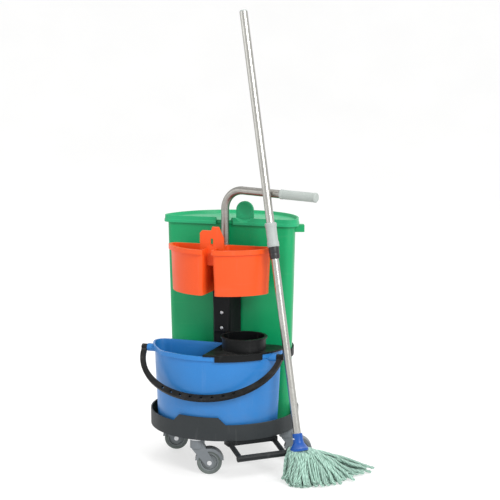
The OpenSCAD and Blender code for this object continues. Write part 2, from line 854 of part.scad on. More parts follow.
module bucket_space() {
    side = bucket_back - bucket_centre + rim_out;
    w = bucket_wall;
    b = spout_out;
    at = 360 - spout_at;
    skin([
        d_loop(bucket_foot_r - 5 - w, side + 8 + w, bucket_corner - 4 - w, bucket_z + w),
        d_loop(bucket_foot_r - w, side + 3 + w, bucket_corner - w, bucket_z + 6 + w),
        d_loop(bucket_top_r - 1 - w, side + w, bucket_corner - w, bucket_top - 60),
        d_loop(bucket_top_r - w, side + w, bucket_corner - w, bucket_top - rim_band - 2, b * 0.8, at),
        d_loop(bucket_top_r + rim_out - 2 * w, side - rim_out + 2 * w, bucket_corner + rim_out - 2 * w,
            bucket_top + 1, b, at)
    ]);
}

module bucket_body() {
    color([0.27, 0.55, 0.80])
    difference() {
        union() {
            bucket_frame() bucket_outer();
            for (s = [-1, 1])
                translate([s * ear_in, -pivot_y, pivot_z]) rotate([0, s * 90, 0])
                    cylinder(r = ear_r, h = ear_out - ear_in);
        }
        bucket_frame() bucket_space();
        for (s = [-1, 1])
            translate([s * (ear_out - 14), -pivot_y, pivot_z]) rotate([0, s * 90, 0])
                cylinder(r = bail_pin_r + fit_gap, h = 20);
    }
}

module bail_pins() {
    color([0.14, 0.14, 0.15])
    for (s = [-1, 1])
        translate([s * (ear_out - 14), -pivot_y, pivot_z]) rotate([0, s * 90, 0]) {
            cylinder(r = bail_pin_r, h = bail_half_w - ear_out + 14);
            translate([0, 0, bail_half_w - ear_out + 14 + rest_gap]) cylinder(r = bail_pin_r + 3, h = 1.7);
            translate([0, 0, bail_half_w - ear_out + 13]) cylinder(r = bail_pin_r, h = 2);
        }
}

// Point of a half oval about the pivot axis; w is its half width and d its depth
function oval(w, d, t) = [w * cos(t), -d * sin(t)];

module bail() {
    slot_d = bail_depth - bail_band / 2;
    slot_w = bail_half_w - 11;
    color([0.16, 0.17, 0.18])
    translate([0, -pivot_y, pivot_z])
    difference() {
        union() {
            rotate([bail_drop, 0, 0])
                translate([0, 0, -bail_t / 2]) linear_extrude(height = bail_t)
                    polygon(concat(
                        [for (t = [0:4:180]) oval(bail_half_w, bail_depth, t)],
                        [for (t = [180:-4:0]) oval(bail_half_w - bail_arm_w, bail_depth - bail_band, t)]
                    ));
            for (s = [-1, 1])
                translate([s * (ear_out + rest_gap), 0, 0]) rotate([0, s * 90, 0])
                    cylinder(r = 10, h = bail_half_w - ear_out - rest_gap);
        }
        for (s = [-1, 1])
            translate([s * (ear_out - 5), 0, 0]) rotate([0, s * 90, 0])
                cylinder(r = bail_pin_r + run_gap, h = 30);
        for (s = [-1, 1])
            translate([s * (ear_out + rest_gap), 0, 0]) rotate([0, -s * 90, 0]) cylinder(r = 16, h = 14);
        rotate([bail_drop, 0, 0])
            for (i = [0:bail_slot_count - 1])
                let (
                    t = 90 + (i - (bail_slot_count - 1) / 2) * 9,
                    p = oval(slot_w, slot_d, t),
                    lean = atan2(slot_d * cos(t), slot_w * sin(t))
                )
                translate([p[0], p[1], -bail_t]) rotate([0, 0, lean])
                    translate([-bail_slot_l / 2, -bail_slot_w / 2, 0])
                        cube([bail_slot_l, bail_slot_w, 2 * bail_t]);
    }
}

// ---------- wringer ----------

module wringer_outline() {
    side = bucket_back - bucket_centre;
    pts = d_loop(bucket_top_r + rim_out + 4, side, bucket_corner + rim_out, 0);
    intersection() {
        polygon([for (p = pts) [p[0], -p[1] - bucket_centre]]);
        translate([wringer_left, -300]) square([300, 300]);
    }
}

module wringer_body() {
    rim_r = bucket_top_r + rim_out;
    color([0.12, 0.13, 0.13])
    difference() {
        union() {
            translate([0, 0, wringer_z]) linear_extrude(height = wringer_plate_t) wringer_outline();
            translate([cup_x, -cup_y, wringer_z]) cylinder(r = cup_r, h = wringer_plate_t + cup_h, $fn = 96);
            translate([cup_x, -cup_y, wringer_z + wringer_plate_t + cup_h - cup_bead_h])
                cylinder(r = cup_r + cup_bead, h = cup_bead_h, $fn = 96);
            intersection() {
                translate([0, -bucket_centre, wringer_z - apron_h])
                    ring(rim_r + 3.4, rim_r + 0.6, apron_h + 1);
                translate([apron_left, -300, wringer_z - 2 * apron_h]) cube([apron_w, 200, 3 * apron_h]);
            }
        }
        translate([cup_x, -cup_y, wringer_z - 20]) cylinder(r = cup_r - cup_wall, h = 100, $fn = 96);
    }
}

module wringer_cone() {
    lip_z = wringer_z + wringer_plate_t;
    r_top = cup_r - cup_wall - fit_gap;
    r_foot = r_top - cone_taper;
    color([0.10, 0.11, 0.11])
    translate([cup_x, -cup_y, 0])
    difference() {
        union() {
            translate([0, 0, lip_z - cone_depth]) cylinder(r1 = r_foot, r2 = r_top, h = cone_depth, $fn = 96);
            translate([0, 0, lip_z]) cylinder(r = r_top, h = cone_lip, $fn = 96);
        }
        translate([0, 0, lip_z - cone_depth + cone_wall])
            cylinder(r1 = r_foot - cone_wall, r2 = r_top - cone_wall, h = cone_depth - cone_wall, $fn = 96);
        translate([0, 0, lip_z - 0.01]) cylinder(r = r_top - cone_wall, h = cone_lip + 2, $fn = 96);
        for (row = [0:cone_rows - 1], k = [0:cone_holes - 1])
            rotate([0, 0, (k + (row % 2) / 2) * 360 / cone_holes])
                translate([r_foot - 12, 0, lip_z - cone_depth + 16 + row * (cone_depth - 26) / cone_rows])
                    rotate([0, 90, 0]) cylinder(r = cone_hole_r, h = r_top, $fn = 16);
    }
}

// ---------- caddy ----------

// Outline of the right pot, grown by g
module pot_outline(g) {
    offset(r = 12 + g, $fn = 32)
        offset(delta = -12)
            intersection() {
                translate([0, caddy_arc_y]) circle(r = caddy_arc_r - caddy_flange, $fn = 96);
                translate([caddy_gap / 2, -300])
                    square([caddy_half_w - caddy_flange - caddy_gap / 2, 300 - caddy_back - 3]);
            }
}

module pot_block(g, z0, z1, taper) {
    mid = [caddy_gap / 2 + 60, -caddy_back - 60];
    hull() {
        translate([0, 0, z1 - 0.01]) linear_extrude(height = 0.01) pot_outline(g);
        translate([mid[0], mid[1], z0]) linear_extrude(height = 0.01)
            scale(taper) translate([-mid[0], -mid[1]]) pot_outline(g);
    }
}

module caddy_pot() {
    difference() {
        union() {
            pot_block(0, caddy_z, caddy_top, caddy_taper);
            translate([0, 0, caddy_top - 14]) linear_extrude(height = 14)
                intersection() {
                    pot_outline(caddy_flange);
                    translate([caddy_gap / 2, -300]) square([300, 300 - caddy_back]);
                }
        }
        pot_block(-caddy_wall, caddy_z + caddy_floor, caddy_top + 1, caddy_taper);
    }
}

module caddy_hook(x) {
    lip_y = -neck_front + post_wall + 0.4;
    translate([x, -caddy_back - 1, neck_z + rest_gap])
        cube([hook_w, caddy_back + 1 + lip_y + lip_t, hook_t]);
    translate([x, lip_y, neck_z + rest_gap - lip_drop]) cube([hook_w, lip_t, lip_drop + hook_t]);
}

module caddy() {
    web_z = caddy_top - 52;
    plate_y = -111;
    half = caddy_plate_w / 2;
    color([0.92, 0.40, 0.18]) {
        for (s = [0, 1]) mirror([s, 0, 0]) caddy_pot();
        // back wall between the pots, and the hooks that hang on the post's neck
        translate([-caddy_gap / 2 - 6, -caddy_back - 3, web_z]) cube([caddy_gap + 12, 3, caddy_top - web_z]);
        caddy_hook(hook_x);
        caddy_hook(-hook_x - hook_w);
        // carrying plate across the gap
        difference() {
            union() {
                translate([-caddy_gap / 2 - 1, plate_y - 2, web_z])
                    cube([caddy_gap + 2, 4, caddy_top - web_z + caddy_plate_h - 26]);
                translate([0, plate_y + 2, caddy_top - 4]) rotate([90, 0, 0])
                    linear_extrude(height = 4)
                        polygon([
                            [-half, 0], [half, 0], [half, caddy_plate_h * 0.55],
                            [half - 16, caddy_plate_h + 4],
                            [2, caddy_plate_h + 4], [-2, caddy_plate_h - 8], [-half + 8, caddy_plate_h - 8],
                            [-half, caddy_plate_h - 16]
                        ]);
            }
            translate([-4, plate_y - 5, caddy_top + 8]) cube([8, 10, 22]);
        }
    }
}

// ---------- mop ----------

module mop_lower_tube() {
    color([0.80, 0.81, 0.82])
    on_mop(lower_start) pipe(lower_r, lower_wall, lower_end - lower_start);
}

module mop_upper_tube() {
    color([0.84, 0.84, 0.82])
    on_mop(upper_start) pipe(upper_r, upper_r - lower_r - run_gap, mop_l - 4 - upper_start);
}

module mop_cap() {
    color([0.78, 0.79, 0.78])
    on_mop(mop_l - 18) {
        cylinder(r = lower_r, h = 14);
        translate([0, 0, 14]) cylinder(r1 = upper_r, r2 = upper_r - 2, h = 4);
    }
}

module mop_sleeve() {
    color([0.76, 0.79, 0.78])
    on_mop(collar_at + collar_l + fit_gap)
        difference() {
            rotate_extrude($fn = 64)
                polygon([
                    [0, 0], [17, 0], [18, 2], [18, 14], [16.5, 18], [16.5, sleeve_l - 14],
                    [18, sleeve_l - 10], [18, sleeve_l - 3], [16, sleeve_l], [0, sleeve_l]
                ]);
            translate([0, 0, -1]) cylinder(r = upper_r + fit_gap, h = sleeve_l + 2);
        }
}

module mop_collar() {
    color([0.10, 0.10, 0.11])
    on_mop(collar_at)
        difference() {
            rotate_extrude($fn = 64)
                polygon([
                    [0, 0], [13.5, 0], [15, 2], [15.8, 12], [15, 16], [16, 22], [16, collar_l], [0, collar_l]
                ]);
            translate([0, 0, -1]) cylinder(r = lower_r + run_gap, h = 6);
            translate([0, 0, 4]) cylinder(r = upper_r + fit_gap, h = collar_l);
        }
}

module mop_socket() {
    color([0.10, 0.36, 0.74])
    on_mop(socket_at)
        difference() {
            rotate_extrude($fn = 64)
                polygon([
                    [0, 0], [socket_bell_r, 0], [socket_bell_r, 7], [socket_bell_r - 3, 10],
                    [socket_neck_r + 1.5, 22], [socket_neck_r, 27], [socket_neck_r, socket_l - 3],
                    [socket_neck_r - 2, socket_l], [0, socket_l]
                ]);
            translate([0, 0, lower_start - socket_at]) cylinder(r = lower_r + fit_gap, h = socket_l);
            translate([0, 0, socket_l - mop_screw_in]) rotate([-90, 0, 0])
                cylinder(r = mop_screw_r + fit_gap, h = socket_bell_r);
        }
}

module mop_screw() {
    color([0.75, 0.76, 0.77])
    on_mop(socket_at + socket_l - mop_screw_in)
        translate([0, socket_neck_r, 0]) rotate([-90, 0, 0])
            screw(mop_screw_r, socket_neck_r - lower_r - run_gap, 2 * mop_screw_r, mop_screw_r);
}

module mop_head() {
    color([0.62, 0.78, 0.70])
    hull() {
        on_mop(socket_at - 6) cylinder(r = socket_bell_r - 2, h = 5.9, $fn = 24);
        translate([mop_x - 56, -mop_y + 22, 0]) cylinder(r = 22, h = 10, $fn = 24);
        translate([mop_x, -mop_y - 30, 0]) cylinder(r = 24, h = 14, $fn = 24);
        translate([mop_x + 70, -mop_y + 55, 0]) cylinder(r = 45, h = 30, $fn = 24);
        translate([mop_x + head_tip[0], -mop_y + head_tip[1], 0]) cylinder(r = head_tip_r, h = 12, $fn = 24);
    }
}

// ---------- assembly ----------

module place() {
    translate(centre) children();
}

place() deck();
place() foot_loop();
place() foot_loop_screws();
place() castor_plate(1);  // castor_plate_1
place() castor_plate(2);  // castor_plate_2
place() castor_plate(3);  // castor_plate_3
place() castor_plate(4);  // castor_plate_4
place() castor_fork(1);  // castor_fork_1
place() castor_fork(2);  // castor_fork_2
place() castor_fork(3);  // castor_fork_3
place() castor_fork(4);  // castor_fork_4
place() castor_axle(1);  // castor_axle_1
place() castor_axle(2);  // castor_axle_2
place() castor_axle(3);  // castor_axle_3
place() castor_axle(4);  // castor_axle_4
place() castor_hub(1);  // castor_hub_1
place() castor_hub(2);  // castor_hub_2
place() castor_hub(3);  // castor_hub_3
place() castor_hub(4);  // castor_hub_4
place() castor_tyre(1);  // castor_tyre_1
place() castor_tyre(2);  // castor_tyre_2
place() castor_tyre(3);  // castor_tyre_3
place() castor_tyre(4);  // castor_tyre_4
place() post_column();
place() post_cover();
place() post_screws();
place() bin_hoop();
place() hoop_screws();
place() push_tube();
place() push_grip();
place() tube_screws();
place() bin_body();
place() bin_lid();
place() bucket_body();
place() bail_pins();
place() bail();
place() wringer_body();
place() wringer_cone();
place() caddy();
place() mop_lower_tube();
place() mop_socket();
place() mop_screw();
place() mop_head();
place() mop_upper_tube();
place() mop_sleeve();
place() mop_collar();
place() mop_cap();
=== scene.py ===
"""Looks of the round housekeeping cart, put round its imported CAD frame.

Each sub-assembly is a class that builds and dresses its own pieces. Hard pieces are
merged, softly edged copies of the CAD nodes; the mop's yarn, the screw heads and the
studio are worked out here as surfaces on grids.
"""

import json
import logging
import math
from dataclasses import dataclass, field
from enum import Enum

import bmesh
import bpy
import numpy as np
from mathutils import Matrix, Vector

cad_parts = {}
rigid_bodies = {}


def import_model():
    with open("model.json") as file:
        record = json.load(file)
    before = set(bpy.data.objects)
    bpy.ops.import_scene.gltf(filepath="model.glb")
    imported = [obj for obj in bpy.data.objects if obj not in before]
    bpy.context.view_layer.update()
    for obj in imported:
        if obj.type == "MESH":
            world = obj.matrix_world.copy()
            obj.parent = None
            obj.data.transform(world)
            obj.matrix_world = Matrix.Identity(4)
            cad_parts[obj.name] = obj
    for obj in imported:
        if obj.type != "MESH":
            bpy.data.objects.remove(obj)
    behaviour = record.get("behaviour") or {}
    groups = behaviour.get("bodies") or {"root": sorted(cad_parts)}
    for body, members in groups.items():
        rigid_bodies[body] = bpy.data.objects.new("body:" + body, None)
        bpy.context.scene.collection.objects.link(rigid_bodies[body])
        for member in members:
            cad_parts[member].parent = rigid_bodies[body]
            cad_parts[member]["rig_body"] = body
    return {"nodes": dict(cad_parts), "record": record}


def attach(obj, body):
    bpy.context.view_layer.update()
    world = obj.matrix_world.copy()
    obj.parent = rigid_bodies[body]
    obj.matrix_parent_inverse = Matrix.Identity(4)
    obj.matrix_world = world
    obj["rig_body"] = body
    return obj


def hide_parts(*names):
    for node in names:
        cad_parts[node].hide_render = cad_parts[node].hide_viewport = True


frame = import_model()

log = logging.getLogger("cart")

Colour = tuple[float, float, float]
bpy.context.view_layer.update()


# ---------------------------------------------------------------- small helpers


def srgb(red: int, green: int, blue: int) -> Colour:
    """Linear colour of an 8-bit screen colour, by the usual screen curve.

    Args:
        red: Red from 0 to 255.
        green: Green from 0 to 255.
        blue: Blue from 0 to 255.

    Returns:
        The three linear values.
    """
    c = np.array([red, green, blue], float) / 255
    linear = np.where(c <= 0.04045, c / 12.92, ((c + 0.055) / 1.055) ** 2.4)
    return tuple(float(v) for v in linear)


def tinted(colour: Colour, factor: float) -> tuple[float, float, float, float]:
    """The colour made lighter or darker by a factor, with alpha 1, as a socket wants it."""
    return tuple(min(1.0, v * factor) for v in colour) + (1.0,)


def grid_quads(rows: int, columns: int, wrap_rows: bool, wrap_columns: bool) -> np.ndarray:
    """Quads of a grid of points numbered row by row.

    Args:
        rows: Number of rows of points.
        columns: Number of points in a row.
        wrap_rows: True if the last row joins the first.
        wrap_columns: True if a row's last point joins its first.

    Returns:
        Point numbers of the quads, four to a line.
    """
    i = np.arange(rows if wrap_rows else rows - 1)[:, None]
    j = np.arange(columns if wrap_columns else columns - 1)[None, :]
    i2, j2 = (i + 1) % rows, (j + 1) % columns
    quads = np.stack([i * columns + j, i * columns + j2, i2 * columns + j2, i2 * columns + j], -1)
    return quads.reshape(-1, 4)


def mesh_piece(name: str, points: np.ndarray, faces: list, smooth: bool = True) -> bpy.types.Object:
    """A new object at the origin from points and faces.

    Args:
        name: Name of the piece.
        points: Points, three numbers to a line, in metres.
        faces: Faces as lists of point numbers.
        smooth: True for smooth shading.

    Returns:
        The new object, linked to the scene.
    """
    mesh = bpy.data.meshes.new(name)
    mesh.from_pydata(points.reshape(-1, 3).tolist(), [], faces)
    mesh.update()
    mesh.polygons.foreach_set("use_smooth", [smooth] * len(mesh.polygons))
    piece = bpy.data.objects.new(name, mesh)
    bpy.context.scene.collection.objects.link(piece)
    return piece


def unit(vectors: np.ndarray) -> np.ndarray:
    """Vectors divided by their lengths along the last axis."""
    return vectors / np.maximum(np.linalg.norm(vectors, axis=-1, keepdims=True), 1e-12)


def node_points(node: str) -> np.ndarray:
    """All points of a CAD node at rest, in metres."""
    data = frame["nodes"][node].data
    points = np.empty(len(data.vertices) * 3, np.float32)
    data.vertices.foreach_get("co", points)
    return points.reshape(-1, 3).astype(float)


# ---------------------------------------------------------------- finishes


class Grain(Enum):
    """Which way the fine marks of a surface run."""

    EVEN = (1.0, 1.0, 1.0)
    UPRIGHT = (1.0, 1.0, 0.04)
    LEVEL = (0.06, 0.06, 1.0)


class Wiring:
    """Builds one node material step by step."""

    def __init__(self, name: str) -> None:
        """Starts an empty material with a surface shader and an output."""
        self.material = bpy.data.materials.new(name)
        self.material.use_nodes = True
        self.tree = self.material.node_tree
        self.tree.nodes.clear()
        self.output = self.add("ShaderNodeOutputMaterial")
        self.shader = self.add("ShaderNodeBsdfPrincipled")
        self.join(self.shader.outputs["BSDF"], self.output.inputs["Surface"])
        self.place = self.add("ShaderNodeTexCoord").outputs["Object"]

    def add(self, kind: str, **settings: object) -> bpy.types.Node:
        """Adds a node and sets its fields."""
        node = self.tree.nodes.new(kind)
        for key, value in settings.items():
            setattr(node, key, value)
        return node

    def join(self, source: bpy.types.NodeSocket, target: bpy.types.NodeSocket) -> None:
        """Links two sockets."""
        self.tree.links.new(source, target)

    def noise(
        self, scale: float, detail: float = 3.0, stretch: tuple = (1.0, 1.0, 1.0), shift: float = 0.0
    ) -> bpy.types.NodeSocket:
        """Noise in object space, stretched along the axes.

        Args:
            scale: Waves per metre, roughly.
            detail: Octaves of finer noise.
            stretch: Factors on X, Y and Z before the noise is read.
            shift: Offset that makes one noise differ from another.

        Returns:
            The noise's value, from 0 to 1 about 0.5.
        """
        mapping = self.add("ShaderNodeMapping")
        mapping.inputs["Scale"].default_value = stretch
        mapping.inputs["Location"].default_value = (shift, shift * 0.7, shift * 1.3)
        self.join(self.place, mapping.inputs["Vector"])
        node = self.add("ShaderNodeTexNoise")
        node.inputs["Scale"].default_value = scale
        node.inputs["Detail"].default_value = detail
        self.join(mapping.outputs["Vector"], node.inputs["Vector"])
        return node.outputs["Fac"]

    def spread(
        self, value: bpy.types.NodeSocket, low: float, high: float, out_low: float, out_high: float
    ) -> bpy.types.NodeSocket:
        """Maps a value from one span to another, kept inside it."""
        node = self.add("ShaderNodeMapRange")
        for key, number in (("From Min", low), ("From Max", high), ("To Min", out_low), ("To Max", out_high)):
            node.inputs[key].default_value = number
        self.join(value, node.inputs["Value"])
        return node.outputs["Result"]

    def sum(
        self, first: bpy.types.NodeSocket, second: bpy.types.NodeSocket, how: str = "ADD"
    ) -> bpy.types.NodeSocket:
        """Two values put together by a Math node."""
        node = self.add("ShaderNodeMath", operation=how)
        self.join(first, node.inputs[0])
        self.join(second, node.inputs[1])
        return node.outputs[0]

    def blend(self, factor: bpy.types.NodeSocket, first: object, second: object) -> bpy.types.NodeSocket:
        """Mix of two colours, each a socket or four numbers."""
        node = self.add("ShaderNodeMix", data_type="RGBA")
        self.join(factor, node.inputs[0])
        for slot, value in ((6, first), (7, second)):
            if isinstance(value, bpy.types.NodeSocket):
                self.join(value, node.inputs[slot])
            else:
                node.inputs[slot].default_value = value
        return node.outputs[2]

    def relief(self, height: bpy.types.NodeSocket, depth: float, strength: float) -> None:
        """Feeds a height to the shader's normal through a Bump node."""
        node = self.add("ShaderNodeBump")
        node.inputs["Strength"].default_value = strength
        node.inputs["Distance"].default_value = depth
        self.join(height, node.inputs["Height"])
        self.join(node.outputs["Normal"], self.shader.inputs["Normal"])

    def upward(self) -> bpy.types.NodeSocket:
        """How far a face looks up, from 0 on walls to 1 on level tops."""
        split = self.add("ShaderNodeSeparateXYZ")
        self.join(self.add("ShaderNodeNewGeometry").outputs["Normal"], split.inputs[0])
        return self.spread(split.outputs["Z"], 0.3, 1.0, 0.0, 1.0)


@dataclass(frozen=True)
class Plastic:
    """Moulded plastic with a fine grain, cloudy colour, scuffs and a little dust.

    The colour drifts between two tints by slow noise. Scuffs are stretched noise cut to
    thin streaks; dust is a pale veil that grows on level tops.
    """

    name: str
    colour: Colour
    rough: float = 0.38
    gloss: float = 0.5
    drift: float = 0.07
    grain: float = 1400.0
    depth: float = 0.00005
    scuffs: float = 0.16
    dust: float = 0.10
    foot_dirt: float = 0.0
    coat: float = 0.0

    def material(self) -> bpy.types.Material:
        """Builds the node material."""
        w = Wiring(self.name)
        cloud = w.spread(w.noise(5.0, 4.0), 0.3, 0.7, 0.0, 1.0)
        body = w.blend(cloud, tinted(self.colour, 1 - self.drift), tinted(self.colour, 1 + self.drift))
        speck = w.spread(w.noise(self.grain * 0.3, 2.0, shift=3.1), 0.35, 0.65, 0.0, 0.35)
        body = w.blend(speck, body, tinted(self.colour, 0.88))
        streak = w.spread(w.noise(60.0, 6.0, (1.0, 1.0, 0.12), 5.7), 0.62, 0.72, 0.0, self.scuffs)
        cross = w.spread(w.noise(45.0, 6.0, (0.1, 0.1, 1.0), 9.2), 0.63, 0.72, 0.0, self.scuffs)
        worn = w.sum(streak, cross, "MAXIMUM")
        body = w.blend(worn, body, tinted(tuple(v * 0.7 + 0.2 for v in self.colour), 1.0))
        up = w.upward()
        patch = w.spread(w.noise(28.0, 5.0, shift=1.9), 0.35, 0.75, 0.0, self.dust * 2)
        veil = w.sum(up, patch, "MULTIPLY")
        body = w.blend(veil, body, (0.50, 0.49, 0.46, 1.0))
        if self.foot_dirt:
            split = w.add("ShaderNodeSeparateXYZ")
            w.join(w.place, split.inputs[0])
            low = w.spread(split.outputs["Z"], 0.10, 0.30, self.foot_dirt, 0.0)
            low = w.sum(low, w.spread(w.noise(35.0, 6.0, shift=7.7), 0.3, 0.7, 0.2, 1.0), "MULTIPLY")
            body = w.blend(low, body, (0.16, 0.15, 0.13, 1.0))
        w.join(body, w.shader.inputs["Base Color"])
        rough = w.spread(w.noise(18.0, 5.0, shift=4.4), 0.3, 0.7, self.rough - 0.05, self.rough + 0.06)
        w.join(w.sum(rough, worn), w.shader.inputs["Roughness"])
        w.shader.inputs["Specular IOR Level"].default_value = self.gloss
        w.shader.inputs["Coat Weight"].default_value = self.coat
        w.shader.inputs["Coat Roughness"].default_value = 0.25
        w.relief(w.noise(self.grain, 2.0), self.depth, 0.5)
        return w.material


@dataclass(frozen=True)
class Metal:
    """Drawn or plated metal, with fine marks that run one way and patchy polish."""

    name: str
    colour: Colour
    rough: float = 0.30
    grain: Grain = Grain.EVEN
    marks: float = 500.0
    contrast: float = 0.12
    metallic: float = 1.0

    def material(self) -> bpy.types.Material:
        """Builds the node material."""
        w = Wiring(self.name)
        lines = w.noise(self.marks, 4.0, self.grain.value)
        cloud = w.noise(14.0, 4.0, shift=2.3)
        tone = w.spread(w.sum(lines, cloud), 0.7, 1.3, 0.0, 1.0)
        body = w.blend(tone, tinted(self.colour, 1 - self.contrast), tinted(self.colour, 1 + self.contrast))
        smudge = w.spread(w.noise(40.0, 5.0, shift=6.1), 0.58, 0.75, 0.0, 0.35)
        body = w.blend(smudge, body, tinted(self.colour, 0.72))
        w.join(body, w.shader.inputs["Base Color"])
        w.shader.inputs["Metallic"].default_value = self.metallic
        rough = w.spread(lines, 0.3, 0.7, self.rough - 0.07, self.rough + 0.09)
        w.join(w.sum(rough, w.spread(smudge, 0.0, 0.35, 0.0, 0.12)), w.shader.inputs["Roughness"])
        w.relief(lines, 0.00002, 0.35)
        return w.material


@dataclass(frozen=True)
class Rubber:
    """Soft rubber or foam: speckled, matt, with pale scuffing where it is touched."""

    name: str
    colour: Colour
    rough: float = 0.72
    speck: float = 900.0
    contrast: float = 0.22

    def material(self) -> bpy.types.Material:
        """Builds the node material."""
        w = Wiring(self.name)
        fleck = w.spread(w.noise(self.speck, 2.0), 0.38, 0.62, 0.0, 1.0)
        dark, light = tinted(self.colour, 1 - self.contrast), tinted(self.colour, 1 + self.contrast * 0.6)
        body = w.blend(fleck, dark, light)
        rub = w.spread(w.noise(30.0, 5.0, shift=2.9), 0.5, 0.8, 0.0, 0.3)
        body = w.blend(rub, body, tinted(tuple(v * 0.6 + 0.22 for v in self.colour), 1.0))
        w.join(body, w.shader.inputs["Base Color"])
        rough = w.spread(w.noise(60.0, 4.0, shift=8.3), 0.3, 0.7, self.rough - 0.1, self.rough + 0.1)
        w.join(rough, w.shader.inputs["Roughness"])
        w.relief(w.noise(self.speck, 3.0), 0.0001, 0.5)
        return w.material


@dataclass(frozen=True)
class Yarn:
    """Looped cotton yarn with painted shade that darkens the hollows between its plies, each loop a little
    different.

    The piece's attribute "ply" is 1 on a ply's back and 0 between plies, where the painted shade colour is
    laid; "loop" is a number of its own for each loop.
    """

    name: str
    colour: Colour
    # colour of the painted shade in the hollows between the plies
    painted_groove_shade: Colour

    def material(self) -> bpy.types.Material:
        """Builds the node material."""
        w = Wiring(self.name)
        ply = w.add("ShaderNodeAttribute", attribute_name="ply").outputs["Fac"]
        loop = w.add("ShaderNodeAttribute", attribute_name="loop").outputs["Fac"]
        tone = w.blend(loop, tinted(self.colour, 0.80), tinted(self.colour, 1.16))
        # painted shade: the dark second colour is laid where "ply" is low, in the hollows between plies
        body = w.blend(w.spread(ply, 0.0, 0.75, 0.0, 1.0), self.painted_groove_shade + (1.0,), tone)
        fuzz = w.spread(w.noise(1800.0, 3.0), 0.35, 0.7, 0.0, 0.30)
        body = w.blend(fuzz, body, tinted(tuple(v * 0.6 + 0.35 for v in self.colour), 1.0))
        stain = w.spread(w.noise(22.0, 4.0, shift=3.3), 0.52, 0.8, 0.0, 0.35)
        body = w.blend(stain, body, tinted(self.colour, 0.62))
        w.join(body, w.shader.inputs["Base Color"])
        w.shader.inputs["Roughness"].default_value = 0.92
        w.shader.inputs["Specular IOR Level"].default_value = 0.2
        w.shader.inputs["Sheen Weight"].default_value = 0.35
        w.shader.inputs["Sheen Roughness"].default_value = 0.5
        w.relief(w.noise(1500.0, 4.0), 0.0005, 0.6)
        return w.material


@dataclass
class Paintbox:
    """All finishes of the cart by their material slot, each built once."""

    finishes: dict = field(default_factory=lambda: {
        "tray_black": Plastic(
            "moulded_charcoal", srgb(44, 48, 50), 0.58, 0.25, grain=520.0, depth=0.0003,
            scuffs=0.08, dust=0.05
        ),
        "loop_black": Plastic(
            "powder_black", srgb(20, 22, 24), 0.42, 0.25, grain=1100.0, depth=0.00008, scuffs=0.08,
            dust=0.03
        ),
        "post_black": Plastic(
            "post_black", srgb(13, 15, 17), 0.48, 0.2, grain=420.0, depth=0.0004, scuffs=0.06,
            dust=0.02
        ),
        "hoop_black": Plastic(
            "hoop_black", srgb(14, 16, 17), 0.48, 0.2, grain=1200.0, scuffs=0.06, dust=0.03
        ),
        "castor_grey": Plastic(
            "castor_grey", srgb(108, 113, 117), 0.42, 0.35, grain=1200.0, scuffs=0.12, dust=0.08
        ),
        "wheel_grey": Plastic(
            "wheel_grey", srgb(118, 124, 126), 0.45, 0.35, grain=1200.0, scuffs=0.12, dust=0.12
        ),
        "tyre_grey": Rubber("tyre_grey", srgb(92, 100, 97), 0.70, 700.0, 0.16),
        "bright_steel": Metal("zinc_plate", (0.62, 0.63, 0.64), 0.28, Grain.EVEN, 400.0, 0.10),
        "tube_satin": Metal("satin_tube", srgb(158, 156, 151), 0.34, Grain.LEVEL, 700.0, 0.14),
        "grip_grey": Rubber("grip_grey", srgb(160, 167, 163), 0.62, 1100.0, 0.16),
        "bin_green": Plastic(
            "bin_green", srgb(6, 150, 92), 0.40, 0.3, 0.07, 1300.0, scuffs=0.05, dust=0.03,
            foot_dirt=0.2
        ),
        "lid_green": Plastic(
            "lid_green", srgb(30, 162, 108), 0.42, 0.3, 0.06, 1300.0, scuffs=0.06, dust=0.05
        ),
        "bucket_blue": Plastic(
            "bucket_blue", srgb(38, 116, 184), 0.36, 0.35, 0.07, 1300.0, scuffs=0.07, dust=0.03,
            foot_dirt=0.15
        ),
        "bail_black": Plastic(
            "bail_black", srgb(10, 11, 11), 0.40, 0.2, grain=1100.0, depth=0.0001, scuffs=0.07,
            dust=0.03
        ),
        "wringer_black": Plastic(
            "wringer_black", srgb(7, 9, 10), 0.38, 0.2, grain=1100.0, depth=0.00008, scuffs=0.07,
            dust=0.02
        ),
        "caddy_orange": Plastic(
            "caddy_orange", srgb(226, 80, 26), 0.40, 0.3, 0.07, 1300.0, scuffs=0.06, dust=0.03
        ),
        "mop_aluminium": Metal("drawn_aluminium", (0.44, 0.435, 0.41), 0.30, Grain.UPRIGHT, 900.0, 0.16),
        "sleeve_grey": Rubber("sleeve_grey", srgb(158, 165, 162), 0.52, 900.0, 0.10),
        "collar_black": Plastic("collar_black", srgb(28, 28, 30), 0.40, scuffs=0.15),
        "socket_blue": Plastic("socket_blue", srgb(10, 72, 150), 0.34, 0.35, 0.08, 1300.0, scuffs=0.06),
        # the second colour is painted shade for the hollows between the yarn's plies
        "yarn_mint": Yarn("mint_yarn", srgb(160, 198, 182), srgb(58, 100, 84)),
    })
    made: dict = field(default_factory=dict)

    def material(self, slot: str) -> bpy.types.Material:
        """The material of a slot, built on first use."""
        if slot not in self.made:
            self.made[slot] = self.finishes[slot].material()
        return self.made[slot]


# ---------------------------------------------------------------- dressing CAD nodes


class Edge(Enum):
    """How far a piece's sharp edges are rounded, in metres."""

    CRISP = 0.0004
    MOULDED = 0.0009
    SOFT = 0.0016


